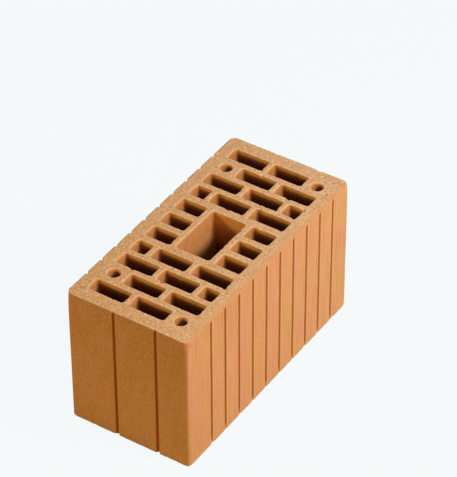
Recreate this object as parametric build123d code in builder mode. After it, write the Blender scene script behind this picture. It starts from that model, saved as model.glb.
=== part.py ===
from build123d import *
import os

os.makedirs("parts", exist_ok=True)

# Perforated clay block, in millimetres. It is extruded upright, so one cross section makes
# all of it: X is the length, Y the width and Z the height, with Z = 0 on the bottom bed.

# outer form
length = 250.0
width = 120.0
height = 138.0
corner_radius = 5.5       # vertical corners
arris = 0.6               # bevel round both cut beds

# grooves that key plaster and mortar: narrow, with well rounded lips
groove_mouth = 3.0
groove_root = 1.2
groove_depth = 2.4
groove_lip_radius = 1.6
side_grooves = 10
side_groove_pitch = 20.95
front_groove_shift = 4.5   # the grooves of -Y sit this far from the middle of the length
back_groove_shift = -1.5   # and those of +Y this far
end_groove_y = (13.0, -28.2)

# rows of holes, counted from the middle of the length outwards
outer_rows = 4
outer_row_pitch = 20.0
first_outer_row = 44.2
middle_row_pitch = 21.8
hole_width = 14.4
middle_hole_width = 14.9
hole_corner_radius = 2.4

# an outer row is two slots and one short cell, with thin cross webs between them
slot_length = 35.0
cell_length = 15.0
cross_web = 5.0

# in the two outermost rows of each end the short cell is round
round_diameter = 11.2

# the three middle rows: a cell on each side of the hand hole
middle_cell_length = 24.6
middle_cell_y = 35.0
hand_hole_length = 57.2
hand_hole_width = 33.8
hand_hole_radius = 2.6

# places that follow from the values above
row_x = [first_outer_row + i * outer_row_pitch for i in range(outer_rows)]
row_half = slot_length + cross_web + cell_length / 2
slot_step = slot_length + cross_web
slot_end = row_half - slot_length / 2
cell_end = row_half - cell_length / 2
groove_x = [(i - (side_grooves - 1) / 2) * side_groove_pitch for i in range(side_grooves)]
groove_shape = [
    (-groove_mouth / 2, 0),
    (-groove_root / 2, groove_depth),
    (groove_root / 2, groove_depth),
    (groove_mouth / 2, 0),
]


def on_both_ends(x, y):
    """The same place at the two ends of the length."""
    return [(x, y), (-x, y)]


# each row turns the order of the row before it round
slots, cells, rounds = [], [], []
for i, x in enumerate(row_x):
    side = -1 if i % 2 else 1       # side of the short cell: +Y or -Y
    for n in range(2):
        slots += on_both_ends(x, -side * (slot_end - n * slot_step))
    short = cells if i < outer_rows - 2 else rounds
    short += on_both_ends(x, side * cell_end)

middle_x = (-middle_row_pitch, 0.0, middle_row_pitch)
middle_cells = [(x, side * middle_cell_y) for x in middle_x for side in (1, -1)]

grooves = [Location((x + front_groove_shift, -width / 2, 0)) for x in groove_x]
grooves += [Location((x + back_groove_shift, width / 2, 0), (0, 0, 180)) for x in groove_x]
grooves += [Location((length / 2, y, 0), (0, 0, 90)) for y in end_groove_y]
grooves += [Location((-length / 2, y, 0), (0, 0, -90)) for y in end_groove_y]


def at_corner(v):
    return abs(abs(v.X) - length / 2) < 1e-3 and abs(abs(v.Y) - width / 2) < 1e-3


def at_lip(v):
    on_face = abs(abs(v.X) - length / 2) < 1e-3 or abs(abs(v.Y) - width / 2) < 1e-3
    return on_face and not at_corner(v)


with BuildPart() as brick:
    # the outline of the die: a rectangle with its grooves and rounded corners
    with BuildSketch() as die:
        Rectangle(length, width)
        with Locations(*grooves):
            Polygon(*groove_shape, align=None, mode=Mode.SUBTRACT)
        fillet(die.vertices().filter_by(at_lip), groove_lip_radius)
        fillet(die.vertices().filter_by(at_corner), corner_radius)
    extrude(amount=height)

    # the wire that cuts the column leaves a slightly worn edge round each bed
    rims = brick.faces().sort_by(Axis.Z)
    chamfer(rims[0].outer_wire().edges() + rims[-1].outer_wire().edges(), arris)

    # the perforations run through from bed to bed
    with BuildSketch():
        with Locations(*slots):
            RectangleRounded(hole_width, slot_length, hole_corner_radius)
        with Locations(*cells):
            RectangleRounded(hole_width, cell_length, hole_corner_radius)
        with Locations(*rounds):
            Circle(round_diameter / 2)
        with Locations(*middle_cells):
            RectangleRounded(middle_hole_width, middle_cell_length, hole_corner_radius)
        RectangleRounded(hand_hole_length, hand_hole_width, hand_hole_radius)
    extrude(amount=height, mode=Mode.SUBTRACT)

brick.part.label = "brick"
export_step(brick.part, "parts/brick.step")

box = brick.part.bounding_box()
print("solids", len(brick.part.solids()), "valid", brick.part.is_valid)
print("size", box.size, "min", box.min)
print("volume cm3", round(brick.part.volume / 1000, 1))
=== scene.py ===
import math
import random

import bpy
import numpy as np
from mathutils import Matrix, Vector, noise
from mathutils.geometry import delaunay_2d_cdt
from mathutils.kdtree import KDTree


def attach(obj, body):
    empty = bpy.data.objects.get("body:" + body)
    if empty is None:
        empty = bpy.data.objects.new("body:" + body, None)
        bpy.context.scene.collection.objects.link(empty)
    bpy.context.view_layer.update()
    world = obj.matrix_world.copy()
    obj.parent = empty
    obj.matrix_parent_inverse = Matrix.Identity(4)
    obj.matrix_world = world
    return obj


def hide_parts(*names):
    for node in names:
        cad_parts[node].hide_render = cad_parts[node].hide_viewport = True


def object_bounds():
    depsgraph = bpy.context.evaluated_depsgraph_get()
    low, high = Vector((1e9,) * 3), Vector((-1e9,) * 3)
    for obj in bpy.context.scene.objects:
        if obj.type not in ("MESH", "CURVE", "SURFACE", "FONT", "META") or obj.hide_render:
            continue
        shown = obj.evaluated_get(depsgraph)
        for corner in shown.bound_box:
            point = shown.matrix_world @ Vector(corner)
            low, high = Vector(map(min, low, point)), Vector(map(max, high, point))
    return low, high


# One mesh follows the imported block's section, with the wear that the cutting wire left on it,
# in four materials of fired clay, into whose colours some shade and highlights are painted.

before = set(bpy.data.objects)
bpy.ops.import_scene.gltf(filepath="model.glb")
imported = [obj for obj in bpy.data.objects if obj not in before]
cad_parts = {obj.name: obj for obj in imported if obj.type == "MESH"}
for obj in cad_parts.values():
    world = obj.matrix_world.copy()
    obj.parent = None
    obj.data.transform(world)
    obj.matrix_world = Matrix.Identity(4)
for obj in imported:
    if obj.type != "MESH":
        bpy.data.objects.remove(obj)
cad_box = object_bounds()

MM = 0.001
SEED = 11
BED, SIDE, END, HOLE = range(4)     # kinds of surface, in the order of their materials
NOISE_WEIGHTS = (1.0, 0.55)     # of the two layers of relief, the second half the size of the first

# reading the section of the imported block
WALL_LEAN = 0.1           # a face whose normal leans no more than this is a wall
RIM_BAND = 2.0            # the walls' upper edges lie this near to the top

# surface build, in millimetres
WALL_STEP = 1.45          # spacing of points round the section
BED_STEP = 1.25           # spacing of points across the beds
ROW_SHARE = 0.866         # of that step between the rows of a bed's points
JITTER = 0.22             # how far a bed's points stray from their rows
RIM_CLEARANCE = 0.55      # share of the step that they keep from the roll-over
BED_DROP = 0.45           # the bed lies this far inside the box, so that burrs can stand on it
SKIN = 0.20               # the outer faces lie this far inside the box
RIM_ROUND = 0.45          # roll-over where a wall meets a bed
DRAG_HOLE = 0.40          # added to it where the wire comes out of the clay, on walls that face -Y
DRAG_SIDE = 0.50          # and on the side that faces -Y
DRAG_WAVE = 0.6           # share by which these two rise and fall
DRAG_WAVE_SIZE = 12.0
SIDE_LEVELS = (0.7, 1.5, 2.4, 3.5, 5.0, 7.4, 11.0, 16.0, 23.0, 32.0, 44.0, 57.0)
HOLE_LEVELS = (0.7, 1.6, 2.8, 4.2, 6.2, 9.2, 17.0, 40.0)

# the cutting wire drags clay towards -Y, which closes the tops of most grooves
HOOD_REACH = 4.6          # depth below the bed at which the groove is clear again
HOOD_WAVE = 0.55          # share by which that varies along the rim
HOOD_WAVE_SIZE = 11.0
HOODS = {                 # share of the groove depth closed at the rim, on -Y, the ends and +Y
    1: (0.95, 0.70, 0.12),      # top bed
    -1: (0.80, 0.25, 0.12),     # bottom bed
}
GROOVE_LIMIT = 4.0        # a point of the outline no deeper than this belongs to a groove
CORNER_ZONE = 8.0         # and one this near to both faces belongs to a corner
CORNER_CRISP = 0.5        # share by which the upright corners sharpen away from the top bed
CORNER_WORN = 0.35        # and by which they are rubbed round at it
CORNER_FADE = 7.0         # depth over which the one turns into the other
END_ZONE = 10.0           # grooves this near to the ends of the length are on the end faces

# relief of the walls: swell of the die, lines drawn by it, roughness that fades below the rims
SWELL_SIZE = 34.0
LINE_SIZE = 2.6
LINE_STRETCH = 90.0
SIDE_SWELL = 0.10
SIDE_LINES = 0.04
SIDE_ROUGH = 0.24
SIDE_ROUGH_SIZE = 2.4
SIDE_ROUGH_FADE = 2.2
SLUMP = 0.9               # where the rim of a side has sunk back
SLUMP_SIZE = 13.0
SLUMP_STRETCH = 60.0
SLUMP_FADE = 2.0
HOLE_SWELL = 0.22
HOLE_LINES = 0.10
HOLE_TORN = 0.80          # clay torn on the walls where the wire comes out of it
HOLE_TORN_Y = -0.3        # which are those whose normal has less than this along Y
HOLE_ROUGH = 0.34         # roughness of the others
HOLE_BULGE = 0.1          # share of the roughness by which these walls stand out throughout
HOLE_ROUGH_SIZE = 2.6
HOLE_ROUGH_FADE = 3.6

# relief of the beds
BED_WAVE = 0.18
BED_WAVE_SIZE = 9.0
BED_GRAIN = 0.30
BED_GRAIN_SIZE = 2.2
PITS = 340                # on each bed, those over its holes included
PIT_RADIUS = 1.5
PIT_DEPTH = 0.75
BURR = 0.28               # height of the clay dragged up along a perforation
BURR_LAST = 0.50          # and where the wire comes out of the clay
BURR_LAST_Y = -0.2        # which is where the normal has less than this along Y
BURR_COVER = 0.25         # the higher, the more of each rim has a burr
BURR_SIZE = 3.1
BURR_WIDTH = 1.1
SIDE_BURR = 0.3           # share of it along the sides
DRAG_SLOPE = 0.25         # how far a dragged rim slopes down before it rolls
DRAG_SLOPE_WIDTH = 2.5
SMEAR_WIDTH = 3.0         # of the clay of the side, smeared over the bed
SMEAR_FALL = 1.4          # how sharply it ends
SMEAR_RAGGED = 1.2
SMEAR_WHOLE = 0.1         # it is ragged only beyond this distance from the roll-over
SMEAR_SIZE = 3.4

# chips in the rims
CHIP_ODDS = 0.06          # at each point of a perforation's rim
SIDE_CHIP_ODDS = 0.6      # share of that along the sides
SMALL_CHIP = (0.9, 2.0)   # range of the radius
LARGE_CHIP = (2.0, 3.6)
SMALL_CHIPS = 0.85        # share of the chips that are small
HOLE_CHIP_SCALE = 0.85
SIDE_CHIP_SCALE = 0.7
SIDE_CHIP_LIMIT = 1.6
CHIP_DEPTH = (0.25, 0.55)       # range of the depth, as a share of the radius
CHIP_STEEP = (0.5, 1.0)         # range of how far down a chip is cut for each step inwards
CHIP_PALE = 1.6           # the higher, the more of a chip has the colour of worn clay
CHIP_RAGGED = 0.5         # share by which the radius varies round a chip
CHIP_GRAIN = 1.7
CHIP_SEARCH = 3.8         # chips are looked for this far from a point

# colour round the rims: worn clay, smeared clay, and a pale painted highlight along them
WORN_DEPTH = 2.0          # a groove this deep is wholly worn where dragged clay closes it
# the pale rims are a painted highlight, strongest on walls that face -Y, towards the key lamp
WALL_RIM_DEPTH = 1.3      # depth over which a wall's pale rim fades
WALL_RIM_SHARE = 0.3      # share of it on walls that don't face -Y
# width over which the pale painted highlight along a bed's rims fades
BED_RIM_WIDTH = 0.9
SMEAR_DEPTH = 0.8         # the smear reaches this far down the wall, and fades over as much

# shade painted into the perforations
DARK_RATE = 95.0          # narrow perforations darken sooner below their rims
DARK_ONSET = 0.27         # of their width, where that starts
LIT_WALL = 0.85           # and walls that face -Y by this share less

CLAY_SPECULAR = 0.25
SPECK_EDGE = 0.35         # share of a speck's radius over which it fades

# camera, fitted to the photograph's edges
CAMERA_AZIMUTH = -56.631
CAMERA_ELEVATION = 39.411
CAMERA_ROLL = -0.213
CAMERA_DISTANCE = 2302.118
CAMERA_SLIDE = (14.418, 49.712)
CAMERA_TARGET = (0.0, 0.0, 70.0)
FOCAL_PIXELS = 2696.153
PHOTO_HEIGHT = 477
SENSOR_HEIGHT = 36.0
VIEW_LIMIT = 60.0         # metres

# studio
FLOOR_SIZE = 24.0         # metres
BACKDROP = (244, 249, 251)
FLOOR_TONE = (166, 168, 169)
FLOOR_GLOW = (251, 255, 255)
GLOW_SHARE = 0.92         # of what the camera sees of the floor, the rest takes the shadow
SKY = 0.30
SKY_TONE = (1.0, 0.98, 0.95, 1.0)
LAMPS = (
    # name, place in metres, diameter, watts
    ("key", (0.13, -1.25, 1.24), 0.40, 25.1),
    ("side_fill", (-1.57, 0.76, 0.56), 0.22, 7.5),
)


def srgb(r, g, b):
    """Linear colour of an 8-bit display colour."""
    out = []
    for c in (r, g, b):
        c /= 255
        out.append(c / 12.92 if c <= 0.04045 else ((c + 0.055) / 1.055) ** 2.4)
    return (*out, 1.0)


# the section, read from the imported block


def plan_key(co):
    """A point's place in the plan, rounded so that equal places compare equal."""
    return (round(co.x / MM, 3), round(co.y / MM, 3))


def chain(pairs):
    """Joins edges, each a pair of plan points, into closed loops."""
    near = {}
    for a, b in pairs:
        near.setdefault(a, set()).add(b)
        near.setdefault(b, set()).add(a)
    loops, left = [], set(near)
    while left:
        start = min(left)
        loop, here, last = [start], start, None
        while True:
            left.discard(here)
            onward = [p for p in sorted(near[here]) if p != last and p in left]
            if not onward:
                break
            last, here = here, onward[0]
            loop.append(here)
        loops.append(np.array(loop))
    return loops


def area(loop):
    """Area of a closed run of points, positive where it runs counter-clockwise."""
    x, y = loop[:, 0], loop[:, 1]
    return 0.5 * float(np.sum(x * np.roll(y, -1) - y * np.roll(x, -1)))


def section_loops(node):
    """The outline, counter-clockwise, the holes, clockwise, and the height, in millimetres."""
    mesh = node.data
    top = max(v.co.z for v in mesh.vertices)
    levels = {}
    for face in mesh.polygons:
        if abs(face.normal.z) > WALL_LEAN:
            continue
        ring = [mesh.vertices[i].co for i in face.vertices]
        for a, b in zip(ring, ring[1:] + ring[:1]):
            if abs(a.z - b.z) < 1e-6 and a.z > top - RIM_BAND * MM:
                pair = tuple(sorted((plan_key(a), plan_key(b))))
                if pair[0] != pair[1]:
                    levels.setdefault(round(a.z / MM, 2), set()).add(pair)
    loops = [loop for pairs in levels.values() for loop in chain(pairs)]
    loops.sort(key=lambda loop: -abs(area(loop)))
    outline, holes = loops[0], loops[1:]
    outline = outline if area(outline) > 0 else outline[::-1]
    holes = [h if area(h) < 0 else h[::-1] for h in holes]
    holes.sort(key=lambda h: (round(h[:, 0].mean()), round(h[:, 1].mean())))
    return outline, holes, top / MM


def resample(loop, step):
    """Adds points along long straight runs and keeps every corner point."""
    out = []
    for a, b in zip(loop, np.roll(loop, -1, axis=0)):
        count = max(1, int(math.ceil(np.linalg.norm(b - a) / step)))
        out += [a + (b - a) * i / count for i in range(count)]
    return np.array(out)


def air_normals(loop):
    """Unit normals that point out of the clay."""
    ahead = np.roll(loop, -1, axis=0) - loop
    ahead /= np.linalg.norm(ahead, axis=1)[:, None]
    out = np.stack([ahead[:, 1], -ahead[:, 0]], axis=1)
    out = out + np.roll(out, 1, axis=0)
    return out / np.linalg.norm(out, axis=1)[:, None]


def waves(x, y, size, layer):
    """Noise over the plan. Each layer is a pattern of its own."""
    return noise.noise((x / size, y / size, layer))


def fbm(x, y, z, size):
    """Noise in space, with finer and weaker noise added to it."""
    total = 0.0
    for weight in NOISE_WEIGHTS:
        total += weight * noise.noise((x / size + 7.3, y / size + 1.9, z / size + 4.1))
        size *= 0.5
    return total / sum(NOISE_WEIGHTS)


def rolls(points, normals, outer, up):
    """Radius of the roll-over at each rim point, wavy where the wire dragged the clay."""
    drag = DRAG_SIDE if outer else DRAG_HOLE
    if up < 0:
        drag = 0.0
    wave = np.array([1 + DRAG_WAVE * waves(x, y, DRAG_WAVE_SIZE, 8.0) for x, y in points])
    return RIM_ROUND + drag * wave * np.clip(-normals[:, 1], 0.0, 1.0) ** 2


def roll_inset(radius, depth):
    """How far the rolled wall lies behind its flat face at a depth below the box."""
    rise = radius - max(0.0, depth - BED_DROP)
    return radius - math.sqrt(radius ** 2 - rise ** 2) if rise > 0 else 0.0


class Loop:
    """One closed run of the section: its points, and how deep each lies in a groove."""

    def __init__(self, points, outer):
        self.points = points
        self.outer = outer
        self.width = float(min(np.max(points, axis=0) - np.min(points, axis=0)))
        self.to_face = np.zeros_like(points)
        self.to_corner = np.zeros_like(points)
        if outer:
            self.find_grooves()
        self.sunk = np.linalg.norm(self.to_face, axis=1)
        self.rims = {up: Rim(self, up) for up in (1, -1)}

    def find_grooves(self):
        """The moves that bring a groove's points out to the flat face, and round corners to
        sharp ones."""
        half = np.max(np.abs(self.points), axis=0)
        sunk = half - np.abs(self.points)
        for axis in (0, 1):
            inside = (sunk[:, axis] < GROOVE_LIMIT) & (sunk[:, 1 - axis] > CORNER_ZONE)
            outward = np.sign(self.points[:, axis]) * sunk[:, axis]
            self.to_face[inside, axis] = outward[inside]
        arc = np.max(sunk, axis=1) < CORNER_ZONE
        radius = float(np.max(np.min(sunk[arc], axis=1))) / (1 - math.sqrt(0.5))
        lean = np.clip(1 - np.max(sunk, axis=1) / radius, 0.0, 1.0)
        self.to_corner[arc] = (np.sign(self.points) * sunk * lean[:, None])[arc]

    def at(self, depth, up):
        """The points at a depth below a bed, after the hoods that the wire dragged over."""
        if not self.outer:
            return self.points
        shares = np.array([hood(x, y, depth, up) for x, y in self.points])
        rubbed = (CORNER_CRISP + CORNER_WORN) * math.exp(-depth / CORNER_FADE) if up > 0 else 0.0
        crisp = CORNER_CRISP - rubbed
        return self.points + self.to_face * shares[:, None] + self.to_corner * crisp


class Rim:
    """Where a loop meets one bed: points, normals out of the clay and roll-over radii."""

    def __init__(self, loop, up):
        self.points = loop.at(0.0, up)
        self.normals = air_normals(self.points)
        self.rolls = rolls(self.points, self.normals, loop.outer, up)
        self.inner = self.points - self.normals * self.rolls[:, None]
        self.outer = loop.outer


def hood(x, y, depth, up):
    """How far dragged clay closes a groove here, from 0 to 1."""
    reach = HOOD_REACH * (1 + HOOD_WAVE * waves(x, y, HOOD_WAVE_SIZE, 3.0))
    fade = max(0.0, 1 - (depth / reach) ** 2)
    front, end, back = HOODS[up]
    if abs(x) > cad_box[1][0] / MM - END_ZONE:
        return fade * end
    return fade * (front if y < 0 else back)


# wear and chips


class Edges:
    """Finds how far a point of a bed lies from the nearest edge of the clay."""

    def __init__(self, loops, up):
        self.points = []
        for rim in (loop.rims[up] for loop in loops):
            smears = smeared(rim.normals, rim.outer, up)
            self.points += zip(rim.points, rim.normals, rim.rolls, smears, [rim.outer] * len(smears))
        self.tree = KDTree(len(self.points))
        for i, (p, _, _, _, _) in enumerate(self.points):
            self.tree.insert((p[0], p[1], 0.0), i)
        self.tree.balance()

    def near(self, x, y):
        """The distance to the nearest rim point, and what is known of that point."""
        _, i, distance = self.tree.find((x, y, 0.0))
        return distance, self.points[i]


def chips(edges, height, rng):
    """Small bites out of the edges: centre, direction into the clay, radius and depth."""
    found = []
    for up, z in ((1, height), (-1, 0.0)):
        for place, normal, _, _, outer in edges[up].points:
            odds = CHIP_ODDS * (SIDE_CHIP_ODDS if outer else 1.0)
            if rng.random() > odds:
                continue
            small = rng.random() < SMALL_CHIPS
            size = rng.uniform(*(SMALL_CHIP if small else LARGE_CHIP))
            if outer:
                size = min(SIDE_CHIP_LIMIT, size * SIDE_CHIP_SCALE)
            else:
                size *= HOLE_CHIP_SCALE
            depth = size * rng.uniform(*CHIP_DEPTH)
            down = Vector((-normal[0], -normal[1], -up * rng.uniform(*CHIP_STEEP))).normalized()
            found.append((Vector((place[0], place[1], z)), down, size, depth))
    return found


class Chipper:
    """Finds the chips round a point and bites them out."""

    def __init__(self, found):
        self.found = found
        self.tree = KDTree(len(found))
        for i, chip in enumerate(found):
            self.tree.insert(chip[0], i)
        self.tree.balance()

    def bite(self, p):
        """How far the chips move a point, and how worn it is there, from 0 to 1."""
        move, worn = Vector((0, 0, 0)), 0.0
        for _, i, distance in self.tree.find_range(p, CHIP_SEARCH):
            _, down, size, depth = self.found[i]
            reach = size * (1.0 + CHIP_RAGGED * fbm(p.x, p.y, p.z, CHIP_GRAIN))
            if distance < reach:
                share = 1 - (distance / reach) ** 2
                move += down * depth * share
                worn = max(worn, min(1.0, CHIP_PALE * share))
        return move, worn


# walls, beds and the mesh that they make


class Block:
    """Collects the mesh, with the values that its materials read at each vertex."""

    def __init__(self, height, chipper):
        self.height = height
        self.chipper = chipper
        self.co, self.faces, self.kind = [], [], []
        # rim is a painted highlight; inner and shade are painted shade; sunk, a groove's depth, also
        # sets painted shade and highlight in the skins; worn and drag are worn and smeared clay
        self.marks = {name: [] for name in ("worn", "sunk", "rim", "drag", "inner", "shade")}

    def vertex(self, p, **values):
        move, bitten = self.chipper.bite(p)
        self.co.append(p + move)
        values["worn"] = max(values.get("worn", 0.0), bitten)
        for name, marks in self.marks.items():
            marks.append(values.get(name, 0.0))
        return len(self.co) - 1

    def face(self, ring, kind):
        self.faces.append(tuple(ring))
        self.kind.append(kind)


def wall_offset(x, y, z, normal, depth, outer):
    """How far a wall stands out: waviness of the die, drag marks and roughness at the rims."""
    lines = noise.noise((x / LINE_SIZE + 3.0, y / LINE_SIZE, z / LINE_STRETCH))
    swell = fbm(x, y, z, SWELL_SIZE)
    if outer:
        rough = SIDE_ROUGH * math.exp(-depth / SIDE_ROUGH_FADE) * fbm(x, y, z, SIDE_ROUGH_SIZE)
        sag = max(0.0, waves(x, y, SLUMP_SIZE, z / SLUMP_STRETCH))
        slump = SLUMP * math.exp(-depth / SLUMP_FADE) * sag
        return -SKIN + SIDE_SWELL * swell + SIDE_LINES * lines + rough - slump
    rough = HOLE_TORN if normal[1] < HOLE_TORN_Y else HOLE_ROUGH
    rough *= math.exp(-depth / HOLE_ROUGH_FADE)
    rough *= fbm(x, y, z, HOLE_ROUGH_SIZE) + HOLE_BULGE
    return HOLE_SWELL * swell + HOLE_LINES * lines + rough


def wall_ring(block, loop, z):
    """The points round one loop at a height, with their marks."""
    depth, up = (block.height - z, 1) if z > block.height / 2 else (z, -1)
    # painted shade: the walls of a perforation darken below their rims, sooner in narrow ones and
    # less on walls that face -Y
    painted_shade_depth = max(0.0, depth - DARK_ONSET * loop.width) * DARK_RATE / loop.width ** 2
    dark = 0.0 if loop.outer else 1 - math.exp(-painted_shade_depth)
    # painted highlight along the rim, stronger on walls that face -Y
    pale = math.exp(-depth / WALL_RIM_DEPTH)
    below = math.exp(-max(0.0, depth - SMEAR_DEPTH) / SMEAR_DEPTH)
    points = loop.at(depth, up)
    normals = air_normals(points)
    smears = smeared(loop.rims[up].normals, loop.outer, up)
    ring = []
    for p, n, r, s, drag in zip(points, normals, loop.rims[up].rolls, loop.sunk, smears):
        inset = roll_inset(r, depth)
        x, y = float(p[0] - n[0] * inset), float(p[1] - n[1] * inset)
        out = wall_offset(x, y, z, n, depth, loop.outer)
        closed = hood(x, y, depth, up) if s > 0 and up > 0 else 0.0
        # walls that face -Y face the key lamp; the marks below paint their light and shade from this
        lit = max(0.0, -float(n[1]))
        ring.append(block.vertex(
            Vector((x + n[0] * out, y + n[1] * out, z)),
            worn=closed * min(1.0, s / WORN_DEPTH), sunk=s * (1 - closed),
            rim=pale * (WALL_RIM_SHARE + (1 - WALL_RIM_SHARE) * lit) * (1 - drag),
            drag=drag * below, inner=dark * (1 - LIT_WALL * lit), shade=1 - lit))
    return ring


def wall_kinds(loop):
    """The kind of surface between each point of a loop and the next."""
    if not loop.outer:
        return [HOLE] * len(loop.points)
    middles = (loop.points + np.roll(loop.points, -1, axis=0)) / 2
    return [END if faces_end(p, loop) else SIDE for p in middles]


def build_wall(block, loop):
    """Rings of points down one loop. Returns the rings next to the top and bottom beds."""
    depths = SIDE_LEVELS if loop.outer else HOLE_LEVELS
    levels = [block.height - d for d in depths] + [block.height / 2] + list(reversed(depths))
    rings = [wall_ring(block, loop, z) for z in levels]
    kinds = wall_kinds(loop)
    for upper, lower in zip(rings, rings[1:]):
        for i, kind in enumerate(kinds):
            j = (i + 1) % len(kinds)
            block.face((upper[i], lower[i], lower[j], upper[j]), kind)
    return rings[0], rings[-1]


def smeared(normals, outer, up):
    """How far the wire smeared each rim point with the clay of the side, from 0 to 1."""
    if not outer or up < 0:
        return np.zeros(len(normals))
    return np.clip(-normals[:, 1], 0.0, 1.0) ** 2


def faces_end(p, loop):
    """Whether a point of the outline belongs to an end face, up to the middle of its corner."""
    half = np.max(np.abs(loop.points), axis=0)
    return half[0] - abs(p[0]) < half[1] - abs(p[1])


def even_odd(points, loops):
    """Which points lie in the clay, by counting crossings of every loop."""
    x, y = points[:, 0], points[:, 1]
    hit = np.zeros(len(points), bool)
    for loop in loops:
        ahead = np.roll(loop, -1, axis=0)
        for (x0, y0), (x1, y1) in zip(loop, ahead):
            if y0 == y1:
                continue
            crosses = (y0 > y) != (y1 > y)
            hit ^= crosses & (x < (x1 - x0) * (y - y0) / (y1 - y0) + x0)
    return hit


def bed_point(block, x, y, up, edges, pits):
    """A point of a cut bed: torn by the wire, with pits and a burr along the perforations."""
    gap, (_, normal, radius, drag, outer) = edges.near(x, y)
    drop = BED_DROP
    drop -= BED_WAVE * fbm(x, y, 5.0 * up, BED_WAVE_SIZE)
    drop -= BED_GRAIN * fbm(x, y, 9.0 * up, BED_GRAIN_SIZE)
    for _, _, distance in pits.find_range((x, y, 0.0), PIT_RADIUS):
        drop += PIT_DEPTH * (1 - distance / PIT_RADIUS)
    # the wire drags clay over the edges where it comes out
    ragged = waves(x, y, BURR_SIZE, 2.0 * up) + BURR_COVER
    burr = max(0.0, ragged) * (BURR_LAST if normal[1] < BURR_LAST_Y else BURR)
    inside = max(0.0, gap - radius)
    drop -= burr * math.exp(-(inside / BURR_WIDTH) ** 2) * (SIDE_BURR if outer else 1.0)
    # a rim that was dragged over slopes down before it rolls
    drop += DRAG_SLOPE * drag * math.exp(-inside / DRAG_SLOPE_WIDTH)
    drop = max(0.0, drop)
    place = Vector((x, y, block.height - drop if up > 0 else drop))
    ragged = 1 + SMEAR_RAGGED * fbm(x, y, 21.0, SMEAR_SIZE) if inside > SMEAR_WHOLE else 1.0
    smear = drag * math.exp(-(inside / SMEAR_WIDTH) ** SMEAR_FALL) * ragged
    # painted highlight along the rims of the bed
    pale = math.exp(-inside / BED_RIM_WIDTH)
    return block.vertex(place, rim=pale * (1 - drag), drag=min(1.0, max(0.0, smear)))


def bed_grid(low, high, edges, inner, rng):
    """Points spread over the clay of a bed in jittered rows, clear of its rims."""
    row = BED_STEP * ROW_SHARE
    grid = []
    for r in range(int((high[1] - low[1]) / row) + 1):
        for c in range(int((high[0] - low[0]) / BED_STEP) + 1):
            x = low[0] + (c + 0.5 * (r % 2)) * BED_STEP + rng.uniform(-JITTER, JITTER)
            grid.append((x, low[1] + r * row + rng.uniform(-JITTER, JITTER)))
    grid = np.array(grid)
    grid = grid[even_odd(grid, inner)]
    clear = []
    for p in grid:
        gap, (_, _, radius, _, _) = edges.near(p[0], p[1])
        if gap > radius + BED_STEP * RIM_CLEARANCE:
            clear.append(p)
    return clear


def scatter(low, high, count, rng):
    """Spots spread at random over a rectangle of the plan."""
    spots = KDTree(count)
    for i in range(count):
        spots.insert((rng.uniform(low[0], high[0]), rng.uniform(low[1], high[1]), 0.0), i)
    spots.balance()
    return spots


def bed_mesh(rings, grid):
    """Triangles over the clay of the plan, and which points are each ring's own."""
    plan, runs, rows = [], [], []
    for ring in rings:
        first, count = len(plan), len(ring)
        plan += [Vector(tuple(p)) for p in ring]
        runs += [(first + i, first + (i + 1) % count) for i in range(count)]
        rows.append(range(first, first + count))
    plan += [Vector(p) for p in grid]
    points, _, faces, source, _, _ = delaunay_2d_cdt(plan, runs, [], 0, 1e-6)
    found = {s: i for i, sources in enumerate(source) for s in sources}
    rows = [[found[i] for i in row] for row in rows]
    middles = np.array([np.mean([points[i][:] for i in f], axis=0) for f in faces])
    faces = [f for f, wanted in zip(faces, even_odd(middles, rings)) if wanted]
    return points, faces, rows


def build_roll_over(block, loop, up, row, start):
    """The strip between a bed and one wall. Where it is smeared, it shows the side's clay."""
    smears = smeared(loop.rims[up].normals, loop.outer, up)
    for i, smear in enumerate(smears):
        j = (i + 1) % len(row)
        ring = (row[i], start[i], start[j], row[j])
        block.face(ring if up > 0 else reversed(ring), SIDE if smear > 0.5 else BED)


def build_bed(block, loops, up, starts, edges, rng):
    """Covers one bed between the rim rings and joins it to the walls."""
    inner = [loop.rims[up].inner for loop in loops]
    low, high = np.min(loops[0].points, axis=0), np.max(loops[0].points, axis=0)
    grid = bed_grid(low, high, edges, inner, rng)
    pits = scatter(low, high, PITS, rng)
    points, faces, rows = bed_mesh(inner, grid)
    ids = [bed_point(block, p.x, p.y, up, edges, pits) for p in points]
    for face in faces:
        a, b, c = (points[i] for i in face[:3])
        ring = [ids[i] for i in face]
        counter = (b - a).cross(c - a) > 0
        block.face(ring if counter == (up > 0) else reversed(ring), BED)
    for loop, row, start in zip(loops, rows, starts):
        build_roll_over(block, loop, up, [ids[i] for i in row], start)


def build_block():
    """The whole block as one mesh, with the marks that its materials read."""
    outline, holes, height = section_loops(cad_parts["brick"])
    rng = random.Random(SEED)
    loops = [Loop(resample(outline, WALL_STEP), True)]
    loops += [Loop(resample(h, WALL_STEP), False) for h in holes]
    edges = {up: Edges(loops, up) for up in (1, -1)}
    block = Block(height, Chipper(chips(edges, height, rng)))
    walls = [build_wall(block, loop) for loop in loops]
    build_bed(block, loops, 1, [w[0] for w in walls], edges[1], rng)
    build_bed(block, loops, -1, [w[1] for w in walls], edges[-1], rng)

    low, high = np.array(cad_box[0]) / MM, np.array(cad_box[1]) / MM
    co = np.clip(np.array([tuple(c) for c in block.co]), low, high) * MM
    mesh = bpy.data.meshes.new("fired_block")
    mesh.from_pydata([tuple(c) for c in co], [], block.faces)
    mesh.polygons.foreach_set("material_index", block.kind)
    mesh.polygons.foreach_set("use_smooth", [True] * len(block.faces))
    for name, values in block.marks.items():
        mesh.attributes.new(name, "FLOAT", "POINT").data.foreach_set("value", values)
    mesh.validate()
    mesh.update()
    piece = bpy.data.objects.new("fired_block", mesh)
    bpy.context.scene.collection.objects.link(piece)
    return piece


# materials


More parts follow.
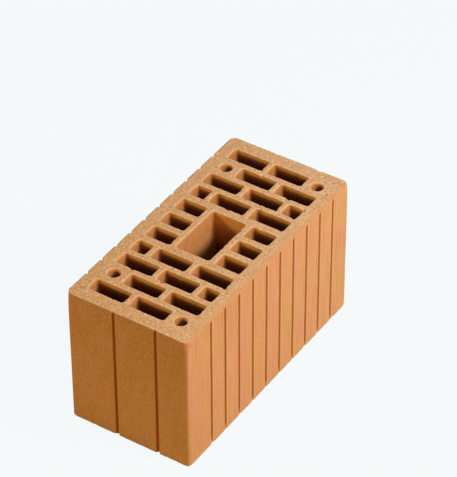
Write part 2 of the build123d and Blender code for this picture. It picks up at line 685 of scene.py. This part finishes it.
class Nodes:
    """Short calls for building one node material."""

    def __init__(self, name):
        self.material = bpy.data.materials.new(name)
        self.material.use_nodes = True
        self.tree = self.material.node_tree
        self.tree.nodes.clear()
        self.place = self.tree.nodes.new("ShaderNodeTexCoord").outputs["Object"]
        self.axes = self.tree.nodes.new("ShaderNodeSeparateXYZ")
        self.tree.links.new(self.place, self.axes.inputs[0])

    def add(self, kind, **values):
        node = self.tree.nodes.new(kind)
        for name, value in values.items():
            setattr(node, name, value)
        return node

    def set(self, socket, value):
        if isinstance(value, bpy.types.NodeSocket):
            self.tree.links.new(value, socket)
        else:
            socket.default_value = value

    def scaled(self, x, y, z):
        """Object coordinates in millimetres, times a factor along each axis."""
        node = self.add("ShaderNodeMapping")
        self.set(node.inputs["Vector"], self.place)
        self.set(node.inputs["Scale"], (x / MM, y / MM, z / MM))
        return node.outputs["Vector"]

    def noise(self, where, detail, rough, distort=0.0):
        node = self.add("ShaderNodeTexNoise")
        self.set(node.inputs["Vector"], where)
        self.set(node.inputs["Scale"], 1.0)
        self.set(node.inputs["Detail"], detail)
        self.set(node.inputs["Roughness"], rough)
        self.set(node.inputs["Distortion"], distort)
        return node.outputs["Fac"]

    def range(self, value, low, high):
        """From 0 where the value is low to 1 where it is high."""
        node = self.add("ShaderNodeMapRange")
        self.set(node.inputs["Value"], value)
        self.set(node.inputs["From Min"], low)
        self.set(node.inputs["From Max"], high)
        return node.outputs["Result"]

    def math(self, operation, a, b):
        node = self.add("ShaderNodeMath", operation=operation)
        self.set(node.inputs[0], a)
        self.set(node.inputs[1], b)
        return node.outputs["Value"]

    def mix(self, share, a, b):
        node = self.add("ShaderNodeMix", data_type="RGBA")
        self.set(node.inputs[0], share)
        self.set(node.inputs[6], a)
        self.set(node.inputs[7], b)
        return node.outputs[2]

    def tint(self, colour, mask, share, other):
        """Lays a second colour over the first where the mask is 1."""
        return self.mix(self.math("MULTIPLY", mask, share), colour, other)

    def specks(self, where, share, radius):
        """Scattered round spots: a part of the cells, each with a soft disc at its centre."""
        node = self.add("ShaderNodeTexVoronoi")
        self.set(node.inputs["Vector"], where)
        self.set(node.inputs["Scale"], 1.0)
        split = self.add("ShaderNodeSeparateColor")
        self.set(split.inputs[0], node.outputs["Color"])
        chosen = self.math("LESS_THAN", split.outputs[0], share)
        size = self.math("MULTIPLY", split.outputs[1], radius)
        disc = self.math("SUBTRACT", size, node.outputs["Distance"])
        disc = self.range(disc, 0.0, radius * SPECK_EDGE)
        return self.math("MULTIPLY", disc, chosen)

    def attribute(self, name):
        return self.add("ShaderNodeAttribute", attribute_name=name).outputs["Fac"]

    def bump(self, height, distance, strength, below=None):
        node = self.add("ShaderNodeBump")
        self.set(node.inputs["Strength"], strength)
        self.set(node.inputs["Distance"], distance * MM)
        self.set(node.inputs["Height"], height)
        if below is not None:
            self.set(node.inputs["Normal"], below)
        return node.outputs["Normal"]

    def finish(self, colour, normal, rough):
        shader = self.add("ShaderNodeBsdfPrincipled")
        self.set(shader.inputs["Base Color"], colour)
        self.set(shader.inputs["Roughness"], rough)
        self.set(shader.inputs["Specular IOR Level"], CLAY_SPECULAR)
        self.set(shader.inputs["Normal"], normal)
        out = self.add("ShaderNodeOutputMaterial")
        self.tree.links.new(shader.outputs["BSDF"], out.inputs["Surface"])
        return self.material


def bed_material():
    """Clay torn by the wire: sandy grain, pale grog, dark pits, paler towards one end."""
    n = Nodes("cut_bed")
    along = n.range(n.axes.outputs[0], cad_box[0][0], cad_box[1][0])
    across = n.range(n.axes.outputs[1], cad_box[1][1], cad_box[0][1])
    base = n.mix(along, srgb(216, 158, 100), srgb(223, 170, 117))
    base = n.tint(base, across, 0.5, srgb(232, 184, 135))
    grain = n.noise(n.scaled(0.62, 0.62, 0.62), 3.0, 0.70)
    dark = n.mix(along, srgb(179, 118, 63), srgb(192, 135, 84))
    light = n.mix(along, srgb(232, 190, 142), srgb(235, 200, 160))
    colour = n.tint(base, n.range(grain, 0.50, 0.34), 0.95, dark)
    colour = n.tint(colour, n.range(grain, 0.52, 0.66), 0.90, light)
    patch = n.noise(n.scaled(0.10, 0.10, 0.10), 2.0, 0.5, 0.4)
    colour = n.tint(colour, n.range(patch, 0.42, 0.72), 0.35, srgb(211, 150, 99))
    pale = n.specks(n.scaled(0.42, 0.42, 0.42), 0.22, 0.40)
    colour = n.tint(colour, pale, 0.75, srgb(234, 209, 179))
    pits = n.specks(n.scaled(0.25, 0.25, 0.25), 0.15, 0.24)
    colour = n.tint(colour, pits, 0.85, srgb(114, 65, 32))
    white = n.specks(n.scaled(0.36, 0.36, 0.36), 0.17, 0.32)
    colour = n.tint(colour, white, 0.90, srgb(243, 230, 211))
    # painted highlight along the rims
    colour = n.tint(colour, n.attribute("rim"), 0.38, srgb(236, 194, 148))
    colour = n.tint(colour, n.attribute("drag"), 0.90, srgb(224, 160, 103))
    height = n.math("ADD", grain, n.math("MULTIPLY", pale, 0.25))
    height = n.math("SUBTRACT", height, n.math("MULTIPLY", pits, 0.8))
    fine = n.noise(n.scaled(2.2, 2.2, 2.2), 2.0, 0.6)
    normal = n.bump(fine, 0.22, 0.6)
    normal = n.bump(height, 0.9, 0.7, normal)
    return n.finish(colour, normal, 0.92)


def drawn_skin(name, low, high, pink, tan, groove, deep, lip_highlight, streaks):
    """A skin drawn past the die: faint streaks, few specks, worn clay, and grooves and rims with
    painted shade and painted highlights.

    low holds the colours at the two ends of the length along the bottom, and high those along
    the top, which are darker, as painted light bouncing up from the floor. Pink and tan are its
    clouds, and groove colours its dark streaks and mottles. In the grooves, deep paints their
    shade, and the colour given for their edges paints a highlight there.
    """
    n = Nodes(name)
    along = n.range(n.axes.outputs[0], cad_box[0][0], cad_box[1][0])
    rise = n.range(n.axes.outputs[2], cad_box[0][2], cad_box[1][2])
    # painted light: the low colours, along the bottom, are lighter than the high ones, as light
    # bouncing up from the floor
    colour = n.mix(rise, n.mix(along, *low), n.mix(along, *high))
    cloud = n.noise(n.scaled(0.055, 0.055, 0.022), 3.0, 0.55)
    colour = n.tint(colour, n.range(cloud, 0.48, 0.62), 0.70, pink)
    colour = n.tint(colour, n.range(cloud, 0.45, 0.34), 0.60, tan)
    streak = n.noise(n.scaled(0.80, 0.80, 0.02), 2.0, 0.6)
    colour = n.tint(colour, n.range(streak, 0.44, 0.25), streaks, groove)
    colour = n.tint(colour, n.range(streak, 0.56, 0.75), streaks, srgb(246, 198, 150))
    mottle = n.noise(n.scaled(0.5, 0.5, 0.5), 3.0, 0.65)
    colour = n.tint(colour, n.range(mottle, 0.53, 0.72), 0.30, srgb(240, 186, 138))
    colour = n.tint(colour, n.range(mottle, 0.47, 0.28), 0.26, groove)
    pale = n.specks(n.scaled(0.16, 0.16, 0.13), 0.10, 0.12)
    colour = n.tint(colour, pale, 0.3, srgb(242, 204, 166))
    pits = n.specks(n.scaled(0.12, 0.12, 0.10), 0.14, 0.09)
    colour = n.tint(colour, pits, 0.7, srgb(116, 62, 26))
    sunk = n.attribute("sunk")
    # painted highlight along the edges of the grooves
    lip_highlight_mask = n.math("MULTIPLY", n.range(sunk, 0.0, 0.12), n.range(sunk, 0.6, 0.25))
    colour = n.tint(colour, lip_highlight_mask, 0.7, lip_highlight)
    # painted shade inside the grooves, darker the deeper they are
    colour = n.tint(colour, n.range(sunk, 0.25, 1.5), 0.94, deep)
    colour = n.tint(colour, n.attribute("worn"), 0.6, srgb(226, 162, 100))
    # the rims pale towards the bed's clay colour, partly that clay and partly a painted highlight,
    # strongest on walls that face -Y
    colour = n.tint(colour, n.attribute("rim"), 0.7, srgb(236, 178, 120))
    colour = n.tint(colour, n.attribute("drag"), 0.9, srgb(206, 144, 90))
    grain = n.noise(n.scaled(1.4, 1.4, 1.0), 3.0, 0.6)
    height = n.math("ADD", n.math("MULTIPLY", streak, 2.0 * streaks), n.math("MULTIPLY", grain, 0.6))
    height = n.math("SUBTRACT", height, pits)
    return n.finish(colour, n.bump(height, 0.20, 0.6), 0.85)


def hole_material():
    """Walls of the perforations, with shade painted into their colour: it darkens and reddens below
    their rims, less on walls that face -Y, which also get a lit colour.
    """
    n = Nodes("drawn_hole")
    # painted light and shade: walls that face -Y get the first colour, as if lit, and the others the
    # second, more saturated colour, as if in shade
    colour = n.mix(n.attribute("shade"), srgb(208, 139, 76), srgb(236, 160, 58))
    cloud = n.noise(n.scaled(0.11, 0.11, 0.07), 3.0, 0.6)
    colour = n.tint(colour, n.range(cloud, 0.48, 0.70), 0.35, srgb(212, 138, 92))
    colour = n.tint(colour, n.range(cloud, 0.45, 0.30), 0.30, srgb(150, 88, 36))
    mottle = n.noise(n.scaled(0.45, 0.45, 0.45), 3.0, 0.7)
    colour = n.tint(colour, n.range(mottle, 0.53, 0.70), 0.35, srgb(236, 172, 116))
    colour = n.tint(colour, n.range(mottle, 0.47, 0.30), 0.30, srgb(160, 92, 44))
    pits = n.specks(n.scaled(0.28, 0.28, 0.28), 0.12, 0.22)
    colour = n.tint(colour, pits, 0.8, srgb(70, 32, 16))
    # painted highlight along the rims, together with the pale colour of worn chips
    rim = n.math("MAXIMUM", n.attribute("rim"), n.attribute("worn"))
    colour = n.tint(colour, rim, 0.5, srgb(226, 166, 108))
    # painted shade, darkening and reddening the walls below their rims
    colour = n.tint(colour, n.attribute("inner"), 0.98, srgb(76, 5, 14))
    grain = n.noise(n.scaled(1.1, 1.1, 0.8), 3.0, 0.6)
    return n.finish(colour, n.bump(grain, 0.35, 0.6), 0.9)


# stage, light and camera


def camera_ray_mix(tree, lit, seen, share):
    """A shader that shows its second input to the camera and works as the first elsewhere."""
    rays = tree.nodes.new("ShaderNodeLightPath")
    amount = tree.nodes.new("ShaderNodeMath")
    amount.operation = "MULTIPLY"
    amount.inputs[1].default_value = share
    mix = tree.nodes.new("ShaderNodeMixShader")
    tree.links.new(rays.outputs["Is Camera Ray"], amount.inputs[0])
    tree.links.new(amount.outputs[0], mix.inputs[0])
    tree.links.new(lit.outputs[0], mix.inputs[1])
    tree.links.new(seen.outputs[0], mix.inputs[2])
    return mix.outputs[0]


def build_floor():
    """A pale floor that keeps the block's shadow."""
    bpy.ops.mesh.primitive_plane_add(size=FLOOR_SIZE, location=(0, 0, 0))
    floor = bpy.context.object
    floor.name = "floor"
    material = bpy.data.materials.new("pale_floor")
    material.use_nodes = True
    tree = material.node_tree
    tree.nodes.clear()
    diffuse = tree.nodes.new("ShaderNodeBsdfDiffuse")
    diffuse.inputs["Color"].default_value = srgb(*FLOOR_TONE)
    glow = tree.nodes.new("ShaderNodeEmission")
    glow.inputs["Color"].default_value = srgb(*FLOOR_GLOW)
    out = tree.nodes.new("ShaderNodeOutputMaterial")
    tree.links.new(camera_ray_mix(tree, diffuse, glow, GLOW_SHARE), out.inputs["Surface"])
    floor.data.materials.append(material)


def build_world():
    """An even, dim sky, which the camera sees as the backdrop's colour."""
    world = bpy.data.worlds.new("studio")
    bpy.context.scene.world = world
    world.use_nodes = True
    tree = world.node_tree
    tree.nodes.clear()
    fill = tree.nodes.new("ShaderNodeBackground")
    fill.inputs["Color"].default_value = SKY_TONE
    fill.inputs["Strength"].default_value = SKY
    seen = tree.nodes.new("ShaderNodeBackground")
    seen.inputs["Color"].default_value = srgb(*BACKDROP)
    out = tree.nodes.new("ShaderNodeOutputWorld")
    tree.links.new(camera_ray_mix(tree, fill, seen, 1.0), out.inputs["Surface"])


def build_lamp(name, place, size, power):
    """A round lamp that points at the origin."""
    data = bpy.data.lights.new(name, "AREA")
    data.shape = "DISK"
    data.size = size
    data.energy = power
    lamp = bpy.data.objects.new(name, data)
    bpy.context.scene.collection.objects.link(lamp)
    lamp.location = place
    lamp.rotation_euler = Vector(place).to_track_quat("Z", "Y").to_euler()


def build_camera():
    """The photograph's view, from the fitted angles, distance and focal length."""
    a, e, roll = (math.radians(v) for v in (CAMERA_AZIMUTH, CAMERA_ELEVATION, CAMERA_ROLL))
    back = Vector((math.sin(a) * math.cos(e), -math.cos(a) * math.cos(e), math.sin(e)))
    flat = Vector((math.cos(a), math.sin(a), 0.0))
    lift = back.cross(flat)
    right = math.cos(roll) * flat + math.sin(roll) * lift
    up = -math.sin(roll) * flat + math.cos(roll) * lift
    place = Vector(CAMERA_TARGET) + back * CAMERA_DISTANCE
    place += right * CAMERA_SLIDE[0] + up * CAMERA_SLIDE[1]
    data = bpy.data.cameras.new("camera")
    data.sensor_fit = "VERTICAL"
    data.sensor_height = SENSOR_HEIGHT
    data.lens = FOCAL_PIXELS / PHOTO_HEIGHT * data.sensor_height
    data.clip_end = VIEW_LIMIT
    camera = bpy.data.objects.new("camera", data)
    turn = Matrix((right, up, back)).transposed()
    camera.matrix_world = Matrix.Translation(place * MM) @ turn.to_4x4()
    bpy.context.scene.collection.objects.link(camera)
    bpy.context.scene.camera = camera


piece = build_block()
for material in (
    bed_material(),
    drawn_skin(
        "drawn_side", streaks=0.38,
        # high is darker than low: painted light from the floor, lighter towards the bottom
        low=(srgb(221, 149, 89), srgb(231, 166, 105)),
        high=(srgb(217, 145, 86), srgb(229, 164, 103)),
        pink=srgb(230, 150, 106), tan=srgb(222, 158, 90), lip_highlight=srgb(246, 192, 138),
        groove=srgb(168, 88, 22), deep=srgb(198, 124, 8)),
    # the ends' skin is a copy of the side's in more saturated colours, painted as the clay looks in
    # shade
    drawn_skin(
        "drawn_end_painted_shade", streaks=0.05,
        # high is darker than low: painted light from the floor, lighter towards the bottom
        low=(srgb(225, 141, 53), srgb(225, 141, 53)),
        high=(srgb(211, 128, 37), srgb(211, 128, 37)),
        pink=srgb(216, 138, 62), tan=srgb(208, 130, 44), lip_highlight=srgb(234, 150, 60),
        groove=srgb(150, 80, 20), deep=srgb(198, 110, 14)),
    hole_material(),
):
    piece.data.materials.append(material)
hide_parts("brick")
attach(piece, "root")

build_floor()
build_world()
for lamp in LAMPS:
    build_lamp(*lamp)
build_camera()
bpy.context.scene.view_settings.view_transform = "Standard"

print("triangles", sum(len(p.vertices) - 2 for p in piece.data.polygons))
